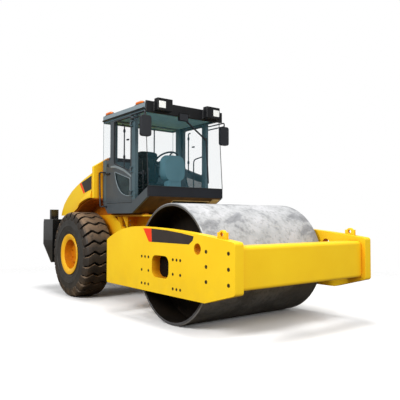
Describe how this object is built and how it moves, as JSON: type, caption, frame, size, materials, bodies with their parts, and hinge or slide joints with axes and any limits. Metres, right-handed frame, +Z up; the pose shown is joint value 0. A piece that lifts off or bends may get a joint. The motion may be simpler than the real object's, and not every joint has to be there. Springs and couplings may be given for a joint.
{
  "type": "road roller",
  "caption": "Articulated single-drum soil compactor with a smooth steel drum, lugged rear tyres, closed cab, lifting hood, hinged doors and a steering and rolling hitch.",
  "frame": {"origin": "centre of the overall box in plan, on the floor the drum and tyres stand on", "axes": "+X forward to the drum, +Y to the machine's left, +Z up"},
  "size_m": [5.93, 2.488, 3.265],
  "materials": {
    "yellow_paint": "gloss",
    "rim_paint": "gloss",
    "cab_paint": "satin",
    "roof_paint": "satin",
    "black_paint": "satin",
    "drum_steel": "worn",
    "cast_weight": "painted black",
    "engine_iron": "dull",
    "rod_chrome": "polished",
    "tyre_rubber": "matte",
    "mount_rubber": "matte",
    "tinted_glass": "tinted",
    "seat_fabric": "woven",
    "trim_plastic": "grained",
    "lamp_amber": "clear amber",
    "lamp_black": "gloss"
  },
  "bodies": {
    "rear_frame": {"rear_frame": "yellow_paint", "rear_axle": "black_paint", "engine_block": "engine_iron", "counterweight": "cast_weight", "bulkhead": "yellow_paint", "fenders": "yellow_paint", "cab_floor": "black_paint", "cab_sills": "cab_paint", "front_skirt": "black_paint", "cab_frame": "cab_paint", "cab_roof": "roof_paint", "windscreen": "tinted_glass", "quarter_glass": "tinted_glass", "rear_glass": "tinted_glass", "seat": "seat_fabric", "console": "trim_plastic", "steering_wheel": "trim_plastic", "mirrors": "trim_plastic", "wiper": "trim_plastic", "work_lamps": "lamp_black", "indicator_lamps": "lamp_amber", "grab_rails": "black_paint"},
    "hitch": {"hitch_yoke": "black_paint"},
    "front_frame": {"side_plate_right": "yellow_paint", "side_plate_left": "yellow_paint", "front_beam": "yellow_paint", "rear_beam": "yellow_paint", "scrapers": "black_paint", "drum_supports": "black_paint", "rubber_mounts": "mount_rubber", "drum_carriers": "black_paint"},
    "drum": {"drum": "drum_steel"},
    "wheel_right": {"tyre_right": "tyre_rubber", "rim_right": "rim_paint"},
    "wheel_left": {"tyre_left": "tyre_rubber", "rim_left": "rim_paint"},
    "door_right": {"door_right": "cab_paint", "door_glass_right": "tinted_glass"},
    "door_left": {"door_left": "cab_paint", "door_glass_left": "tinted_glass"},
    "hood": {"hood": "yellow_paint", "hood_grille": "black_paint"},
    "barrel_right": {"steer_barrel_right": "black_paint"},
    "barrel_left": {"steer_barrel_left": "black_paint"},
    "rod_right": {"steer_rod_right": "rod_chrome"},
    "rod_left": {"steer_rod_left": "rod_chrome"}
  },
  "joints": [
    {"name": "steer", "type": "hinge", "parent": "rear_frame", "child": "hitch", "pos_m": [-0.04, 0, 0.76], "axis": [0, 0, 1], "range_deg": [-35, 35]},
    {"name": "roll", "type": "hinge", "parent": "hitch", "child": "front_frame", "pos_m": [-0.04, 0, 0.76], "axis": [1, 0, 0], "range_deg": [-10, 10]},
    {"name": "drum_spin", "type": "hinge", "parent": "front_frame", "child": "drum", "pos_m": [1.49, 0, 0.8], "axis": [0, 1, 0], "continuous": true},
    {"name": "wheel_spin_right", "type": "hinge", "parent": "rear_frame", "child": "wheel_right", "pos_m": [-1.57, -0.9, 0.755], "axis": [0, 1, 0], "continuous": true},
    {"name": "wheel_spin_left", "type": "hinge", "parent": "rear_frame", "child": "wheel_left", "pos_m": [-1.57, 0.9, 0.755], "axis": [0, 1, 0], "continuous": true},
    {"name": "door_right_swing", "type": "hinge", "parent": "rear_frame", "child": "door_right", "pos_m": [-0.058, -0.768, 2.3], "axis": [0, 0, 1], "range_deg": [0, 85]},
    {"name": "door_left_swing", "type": "hinge", "parent": "rear_frame", "child": "door_left", "pos_m": [-0.058, 0.768, 2.3], "axis": [0, 0, -1], "range_deg": [0, 85]},
    {"name": "hood_lift", "type": "hinge", "parent": "rear_frame", "child": "hood", "pos_m": [-2.37, 0, 1.44], "axis": [0, -1, 0], "range_deg": [0, 55]},
    {"name": "barrel_swing_right", "type": "hinge", "parent": "rear_frame", "child": "barrel_right", "pos_m": [-0.84, -0.4, 0.7], "axis": [0, 0, 1], "range_deg": [-3, 3]},
    {"name": "barrel_swing_left", "type": "hinge", "parent": "rear_frame", "child": "barrel_left", "pos_m": [-0.84, 0.4, 0.7], "axis": [0, 0, 1], "range_deg": [-3, 3]},
    {"name": "rod_slide_right", "type": "slide", "parent": "barrel_right", "child": "rod_right", "axis": [0.988, 0.1547, 0], "range_m": [-0.16, 0.16]},
    {"name": "rod_slide_left", "type": "slide", "parent": "barrel_left", "child": "rod_left", "axis": [0.988, -0.1547, 0], "range_m": [-0.16, 0.16]}
  ],
  "couplings": [
    {"joint": "barrel_swing_right", "follows": "steer", "ratio": -0.033},
    {"joint": "barrel_swing_left", "follows": "steer", "ratio": -0.033},
    {"joint": "rod_slide_right", "follows": "steer", "m_per_rad": 0.253},
    {"joint": "rod_slide_left", "follows": "steer", "m_per_rad": -0.253}
  ]
}
